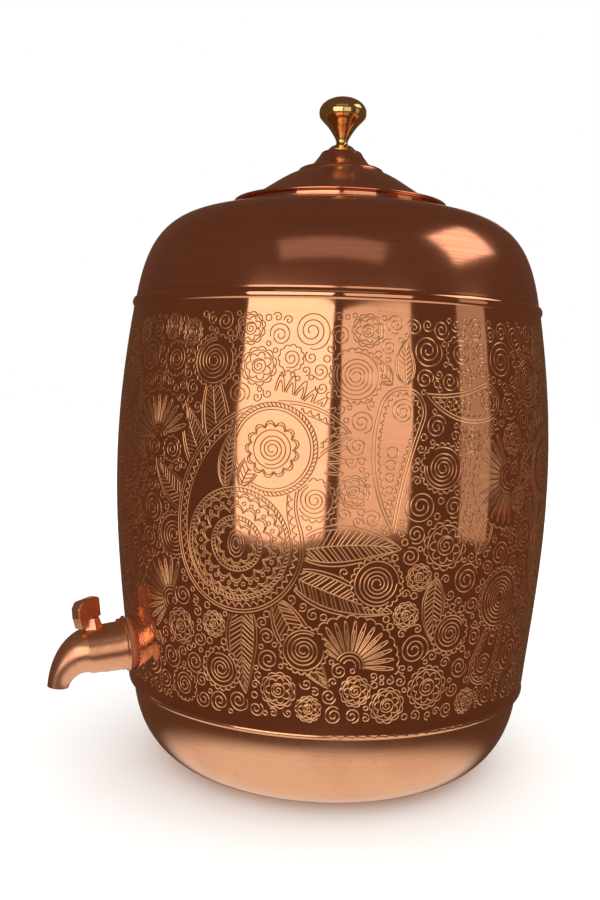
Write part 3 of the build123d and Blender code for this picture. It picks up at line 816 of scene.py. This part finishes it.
# %% Build the tree
tree = bpy.data.node_groups.new("engrave the barrel", "GeometryNodeTree")
tree.interface.new_socket("Geometry", in_out="INPUT", socket_type="NodeSocketGeometry")
tree_inputs = {
    "Line Width": 0.0007,
    "Lift": 0.00003,
    "Belly Radius": belly_radius * MM,
    "Middle Height": barrel_middle * MM,
    "Bend 0": outline_fit[4],
    "Bend 1": outline_fit[3],
    "Bend 2": outline_fit[2],
    "Bend 3": outline_fit[1],
    "Bend 4": outline_fit[0],
    "Clear of Tap": 0.019,
}
for key, value in tree_inputs.items():
    tree.interface.new_socket(key, in_out="INPUT", socket_type="NodeSocketFloat").default_value = value
tree.interface.new_socket("Repeats", in_out="INPUT", socket_type="NodeSocketInt").default_value = 2
tree.interface.new_socket("Tap Place", in_out="INPUT", socket_type="NodeSocketVector")
tree.interface.new_socket("Material", in_out="INPUT", socket_type="NodeSocketMaterial")
tree.interface.new_socket("Geometry", in_out="OUTPUT", socket_type="NodeSocketGeometry")
given = tree.nodes.new("NodeGroupInput").outputs

lines = add_node(tree, "GeometryNodeMeshToCurve", {"Mesh": given["Geometry"]})
level = add_node(tree, "GeometryNodeSetCurveNormal", {"Curve": lines.outputs[0]}, mode="Z_UP")
profile = add_node(tree, "GeometryNodeCurvePrimitiveLine")
half_width = math_node(tree, "MULTIPLY", given["Line Width"], 0.5)
less = math_node(tree, "MULTIPLY", half_width, -1.0)
add_start = add_node(tree, "ShaderNodeCombineXYZ", {0: less})
add_end = add_node(tree, "ShaderNodeCombineXYZ", {0: half_width})
tree.links.new(add_start.outputs[0], profile.inputs["Start"])
tree.links.new(add_end.outputs[0], profile.inputs["End"])
three = add_node(tree, "GeometryNodeResampleCurve", {"Curve": profile.outputs[0], "Count": 3})
factor = add_node(tree, "GeometryNodeSplineParameter").outputs["Factor"]
across = math_node(tree, "MULTIPLY_ADD", factor, 2.0, -1.0)
marked = add_node(
    tree,
    "GeometryNodeStoreNamedAttribute",
    {"Geometry": three.outputs[0], "Name": "across", "Value": across},
    data_type="FLOAT",
    domain="POINT",
)
ribbon = add_node(
    tree, "GeometryNodeCurveToMesh", {"Curve": level.outputs[0], "Profile Curve": marked.outputs[0]}
)

full_turn = math_node(tree, "MULTIPLY", given["Belly Radius"], 2 * math.pi)
pitch = math_node(tree, "DIVIDE", full_turn, given["Repeats"])
places = add_node(tree, "GeometryNodeMeshLine", {"Count": given["Repeats"]})
tree.links.new(add_node(tree, "ShaderNodeCombineXYZ", {0: pitch}).outputs[0], places.inputs["Offset"])
copies = add_node(
    tree, "GeometryNodeInstanceOnPoints", {"Points": places.outputs[0], "Instance": ribbon.outputs[0]}
)
real = add_node(tree, "GeometryNodeRealizeInstances", {0: copies.outputs[0]})

here = add_node(tree, "GeometryNodeInputPosition").outputs[0]
flat = add_node(tree, "ShaderNodeSeparateXYZ", {0: here}).outputs
turn = math_node(tree, "DIVIDE", flat[0], given["Belly Radius"])
rise = math_node(tree, "SUBTRACT", flat[1], given["Middle Height"])
u = math_node(tree, "MULTIPLY", rise, 10.0)
reach = given["Bend 4"]
for key in ("Bend 3", "Bend 2", "Bend 1", "Bend 0"):
    reach = math_node(tree, "MULTIPLY_ADD", reach, u, given[key])
radius = math_node(tree, "MULTIPLY_ADD", reach, MM, given["Lift"])
east = math_node(tree, "MULTIPLY", math_node(tree, "SINE", turn), radius)
south = math_node(tree, "MULTIPLY", math_node(tree, "COSINE", turn), radius)
north = math_node(tree, "MULTIPLY", south, -1.0)
bent_place = add_node(tree, "ShaderNodeCombineXYZ", {0: east, 1: north, 2: flat[1]})
bent = add_node(
    tree, "GeometryNodeSetPosition", {"Geometry": real.outputs[0], "Position": bent_place.outputs[0]}
)
gap = add_node(tree, "ShaderNodeVectorMath", {0: here, 1: given["Tap Place"]}, operation="DISTANCE")
near_tap = math_node(tree, "LESS_THAN", gap.outputs["Value"], given["Clear of Tap"])
cleared = add_node(tree, "GeometryNodeDeleteGeometry", {"Geometry": bent.outputs[0], "Selection": near_tap})
whole = add_node(tree, "GeometryNodeRealizeInstances", {0: cleared.outputs[0]})
painted = add_node(tree, "GeometryNodeSetMaterial", {0: whole.outputs[0], "Material": given["Material"]})
add_node(tree, "NodeGroupOutput", {0: painted.outputs[0]})
socket_id = {s.name: s.identifier for s in tree.interface.items_tree if s.in_out == "INPUT"}
print("tree", tree.name, "with inputs", [k for k in socket_id if k != "Geometry"])

# %% Engraved line finish
groove_lean = 28  # degrees that each side of a line tilts towards its middle
engraved_copper = metal(
    "engraved copper",
    (0.98, 0.55, 0.28),
    (0.76, 0.36, 0.16),
    smooth=0.28, rough=0.42, lines=900, length=6, line_depth=2e-6,
    waves=60, depth=2e-5, patches=30, spread=0.5,
)
print("finish", engraved_copper.name)


# %% Run the tree on each set of lines
def engrave(name, strokes):
    """A set of flat lines as grooves on the barrel."""
    points = np.concatenate(strokes) * MM
    starts = np.cumsum([0] + [len(s) for s in strokes[:-1]])
    index = np.arange(len(points))
    last = np.zeros(len(points), bool)
    last[np.append(starts[1:], len(points)) - 1] = True
    joined = index[~last]
    flat_lines = bpy.data.meshes.new(name + "_flat")
    flat_lines.from_pydata(
        np.column_stack([
            points, np.zeros(len(points))]).tolist(), np.column_stack([joined, joined + 1]).tolist(), [
        ]
    )
    source = bpy.data.objects.new(name + "_flat", flat_lines)
    scene.collection.objects.link(source)
    modifier = source.modifiers.new("engrave", "NODES")
    modifier.node_group = tree
    for key, value in tree_inputs.items():
        modifier[socket_id[key]] = float(value)
    modifier[socket_id["Repeats"]] = 2
    low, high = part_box("tap_escutcheon")
    modifier[socket_id["Tap Place"]] = tuple((low + high) / 2)
    modifier[socket_id["Material"]] = engraved_copper
    bpy.context.view_layer.update()
    evaluated = source.evaluated_get(bpy.context.evaluated_depsgraph_get())
    grooves = bpy.data.meshes.new_from_object(evaluated)
    bpy.data.objects.remove(source)
    grooves.name = name
    piece = bpy.data.objects.new(name, grooves)
    scene.collection.objects.link(piece)
    return piece


def lean_into_groove(mesh, lean):
    """Shades the faces smooth, then sets normals that lean towards the middle of each line."""
    mesh.polygons.foreach_set("use_smooth", np.ones(len(mesh.polygons), bool))
    co = np.array([v.co for v in mesh.vertices])
    side = np.empty(len(mesh.vertices), np.float32)
    mesh.attributes["across"].data.foreach_get("value", side)
    corners = np.empty(len(mesh.loops), np.int32)
    mesh.loops.foreach_get("vertex_index", corners)
    quads = corners.reshape(-1, 4)
    which = side[quads]
    edge, centre = np.abs(which) > 0.5, np.abs(which) <= 0.5
    middle = (co[quads] * centre[..., None]).sum(1) / centre.sum(1)[:, None]
    rim = (co[quads] * edge[..., None]).sum(1) / edge.sum(1)[:, None]
    outward = rim - middle
    outward /= np.linalg.norm(outward, axis=1)[:, None]
    is_left = (which.sum(1) > 0).astype(int)
    key = quads * 2 + is_left[:, None]
    summed = np.zeros((len(co) * 2, 3))
    np.add.at(summed, key.ravel(), np.repeat(outward, 4, axis=0))
    summed /= np.maximum(np.linalg.norm(summed, axis=1), 1e-9)[:, None]
    away = summed[key].reshape(-1, 3)
    up = co[corners] * (1, 1, 0)
    up /= np.linalg.norm(up, axis=1)[:, None]
    normals = math.cos(lean) * up - math.sin(lean) * away
    mesh.normals_split_custom_set(normals)
    return len(quads) * 2


triangles_per_segment = 2 * 2 * 2  # two sheets, two sides of the groove, two triangles a quad
piece_limit = 170_000


def in_batches(strokes):
    """The strokes in batches, each small enough for one piece."""
    batches, segments = [[]], 0
    for stroke in strokes:
        if (segments + len(stroke)) * triangles_per_segment > piece_limit:
            batches.append([])
            segments = 0
        batches[-1].append(stroke)
        segments += len(stroke)
    return batches


all_triangles = 0
for kind, strokes in drawn.items():
    for number, batch in enumerate(in_batches(strokes), 1):
        piece = engrave(f"engraved_{kind}_{number}", batch)
        mesh = piece.data
        outward_count = sum(
            1 for p in mesh.polygons[:200] if p.normal.dot(Vector((p.center.x, p.center.y, 0))) > 0
        )
        if outward_count < 100:
            mesh.flip_normals()
        triangles = lean_into_groove(mesh, math.radians(groove_lean))
        all_triangles += triangles
        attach(piece, "vessel")
        print(piece.name, triangles, "triangles, faces outward:", outward_count, "of 200")
print("engraving:", all_triangles, "triangles")

# %% [markdown]
# ## Floor
#
# The vessel stands on a plain pale floor. It is left out of the reflections, where a white floor would wash
# out the lower half of the barrel; the pale foot of the surroundings stands in for it in the bowl.

# %% Floor
floor_mesh = bpy.data.meshes.new("floor")
floor_mesh.from_pydata([(-6, -6, 0), (6, -6, 0), (6, 6, 0), (-6, 6, 0)], [], [(0, 1, 2, 3)])
floor = bpy.data.objects.new("floor", floor_mesh)
scene.collection.objects.link(floor)
floor_paint = bpy.data.materials.new("pale floor")
floor_paint.use_nodes = True
floor_paint.node_tree.nodes["Principled BSDF"].inputs["Base Color"].default_value = (0.93, 0.93, 0.93, 1)
floor_paint.node_tree.nodes["Principled BSDF"].inputs["Roughness"].default_value = 0.9
floor_mesh.materials.append(floor_paint)
floor.visible_glossy = False
print("floor", floor_mesh.name)

# %% [markdown]
# ## Studio light
#
# A polished vessel mirrors whatever stands round it, so in a studio it is lit by a few large soft boxes in
# dim surroundings: each box becomes one broad, clean band along the metal. Here the surroundings are one dim
# warm tone that turns pale towards the ground, as a paper sweep does. The camera itself sees plain white, and
# matt surfaces get an even white light.

# %% The surroundings
world = bpy.data.worlds.new("studio")
scene.world = world
world.use_nodes = True
studio = world.node_tree
studio.nodes.clear()
direction = add_node(studio, "ShaderNodeTexCoord").outputs["Generated"]
height = add_node(studio, "ShaderNodeSeparateXYZ", {0: direction}).outputs[2]
sweep = add_node(
    studio, "ShaderNodeMix", {0: smooth_between(studio, height, -0.72, -0.52, 1.0, 0.0)},
    data_type="RGBA"
)
sweep.inputs[6].default_value = (0.105, 0.056, 0.034, 1)
sweep.inputs[7].default_value = (0.80, 0.74, 0.68, 1)
mirrored = add_node(studio, "ShaderNodeBackground", {0: sweep.outputs[2], 1: 1.0})
even = add_node(studio, "ShaderNodeBackground", {0: (1.0, 0.99, 0.98, 1), 1: 1.35})
white = add_node(studio, "ShaderNodeBackground", {0: (1, 1, 1, 1), 1: 1.0})
path = add_node(studio, "ShaderNodeLightPath").outputs
lit = add_node(
    studio, "ShaderNodeMixShader",
    {0: path["Is Glossy Ray"], 1: even.outputs[0], 2: mirrored.outputs[0]}
)
seen = add_node(
    studio, "ShaderNodeMixShader", {0: path["Is Camera Ray"], 1: lit.outputs[0], 2: white.outputs[0]}
)
add_node(studio, "ShaderNodeOutputWorld", {0: seen.outputs[0]})
scene.view_settings.view_transform = "Standard"
print("world", world.name)

# %% [markdown]
# ### Soft boxes
#
# One wide box in front and to the left makes the main band down the barrel, a narrower and weaker one to the
# right makes the second, and one high on the right puts the sheen on the dome. Weak ones at the side, above
# and behind keep the rest readable. Power goes up with area, so each box is given by its brightness.

# %% Place the soft boxes
def soft_box(name, around, above, width, tall, brightness, distance=1.7):
    """Rectangular area lamp that faces the vessel's middle; angles in degrees, front is 0 and right is positive."""
    data = bpy.data.lights.new(name, "AREA")
    data.shape, data.size, data.size_y = "RECTANGLE", width, tall
    data.energy = brightness * math.pi * width * tall
    data.color = (1.0, 0.93, 0.84)
    turn, lift = math.radians(around), math.radians(above)
    towards = Vector((math.sin(turn) * math.cos(lift), -math.cos(turn) * math.cos(lift), math.sin(lift)))
    lamp = bpy.data.objects.new(name, data)
    lamp.location = Vector((0, 0, 0.2)) + towards * distance
    lamp.rotation_euler = towards.to_track_quat("Z", "Y").to_euler()
    lamp.visible_camera = False
    scene.collection.objects.link(lamp)
    return lamp


soft_box("main box", -24, 5, 1.40, 1.20, 1.55)
soft_box("second box", 21, 5, 1.05, 1.10, 0.80)
soft_box("high box", 90, 43, 0.95, 0.60, 1.5)
soft_box("side box", 74, 4, 0.55, 1.05, 0.34)
soft_box("front top box", -4, 46, 1.50, 0.45, 0.22)
soft_box("back box", 176, 6, 0.9, 1.0, 0.6)

# %% [markdown]
# ## Camera
#
# The camera stands a little over half a metre away, a hand above the vessel's middle, and looks slightly
# down.
# It is also tipped a little to one side, as a camera held by hand is.

# %% Camera
pitch_angle, tip_angle, side_angle = -0.0767, 0.0313, -0.032
forward = Vector(
    (
        math.sin(side_angle) * math.cos(pitch_angle),
        math.cos(side_angle) * math.cos(pitch_angle),
        math.sin(pitch_angle),
    )
)
level_right = Vector((math.cos(side_angle), -math.sin(side_angle), 0))
level_up = level_right.cross(forward)
right = math.cos(tip_angle) * level_right + math.sin(tip_angle) * level_up
up = -math.sin(tip_angle) * level_right + math.cos(tip_angle) * level_up
camera = bpy.data.objects.new("camera", bpy.data.cameras.new("camera"))
camera.data.lens = 39.58
camera.matrix_world = Matrix((right, up, -forward)).transposed().to_4x4()
camera.location = (0, -0.65586, 0.25035)
camera.data.clip_start, camera.data.clip_end = 0.01, 50
scene.collection.objects.link(camera)
scene.camera = camera
print("camera at", camera.location[:])
